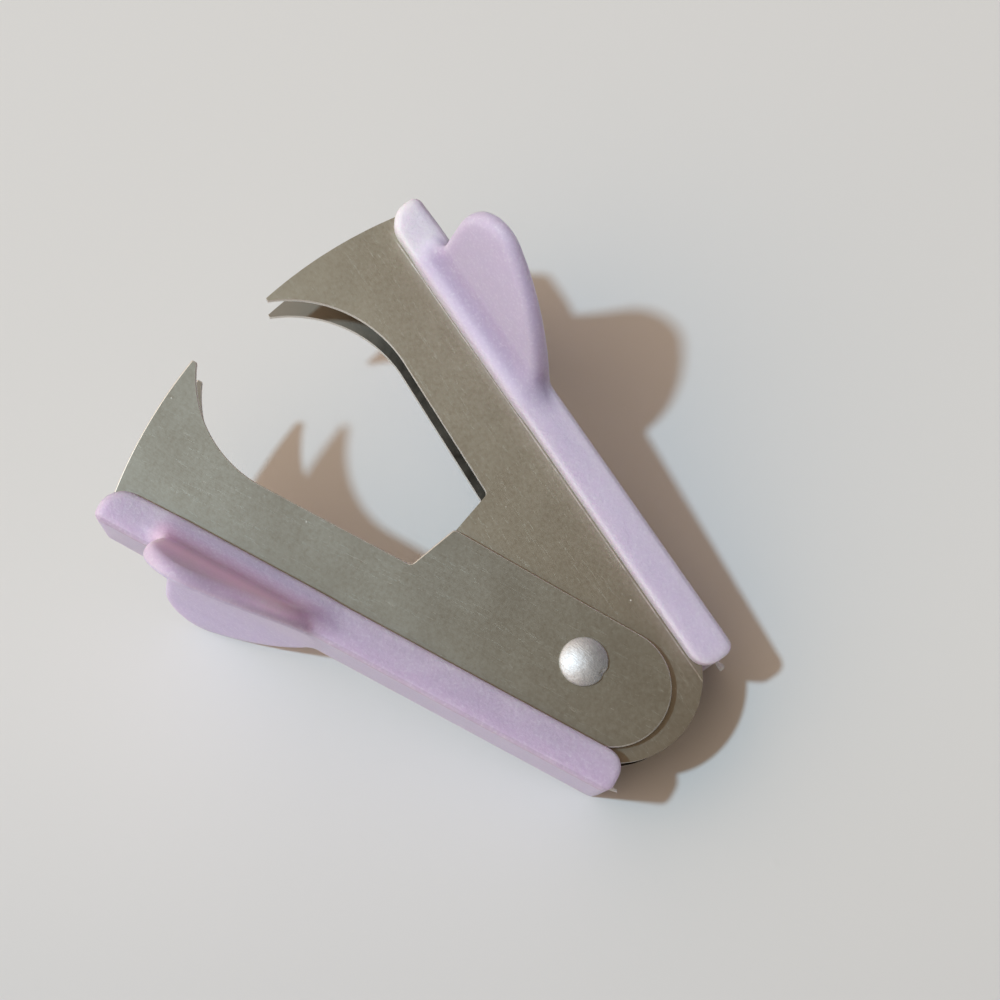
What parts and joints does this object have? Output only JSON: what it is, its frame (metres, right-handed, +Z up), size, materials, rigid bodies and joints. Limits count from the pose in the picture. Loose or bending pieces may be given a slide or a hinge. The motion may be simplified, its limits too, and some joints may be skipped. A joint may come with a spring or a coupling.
{
  "type": "staple remover",
  "caption": "Jaw staple remover lying on its side: sprung sheet-steel claws on a rivet, each with a lilac plastic grip with thumb wings.",
  "frame": {"origin": "middle of the resting footprint, on the surface the tool lies on", "axes": "+Z up, away from the surface; +X towards the fangs, along the middle line between the claws; +Y towards the outer claw"},
  "size_m": [0.0582, 0.0456, 0.0324],
  "materials": {
    "jaw_steel": "nickel-plated sheet, satin with a warm grey cast",
    "grip_plastic": "pearly lilac, slightly translucent, soft gloss",
    "rivet_aluminium": "satin, with small tooling marks",
    "spring_steel": "drawn wire"
  },
  "bodies": {
    "outer_half": {"outer_jaw": "jaw_steel", "outer_grip": "grip_plastic", "pivot_rivet": "rivet_aluminium", "torsion_spring": "spring_steel"},
    "inner_half": {"inner_jaw": "jaw_steel", "inner_grip": "grip_plastic"}
  },
  "joints": [
    {"name": "jaw_squeeze", "type": "hinge", "parent": "outer_half", "child": "inner_half", "pos_m": [-0.01719, 0.00069, 0.00806], "axis": [-0.2571, 0, 0.9664], "range_deg": [0, 26.5], "stiffness_Nm_per_rad": 0.35, "springref_deg": -20.05, "deforming": ["torsion_spring"]}
  ]
}
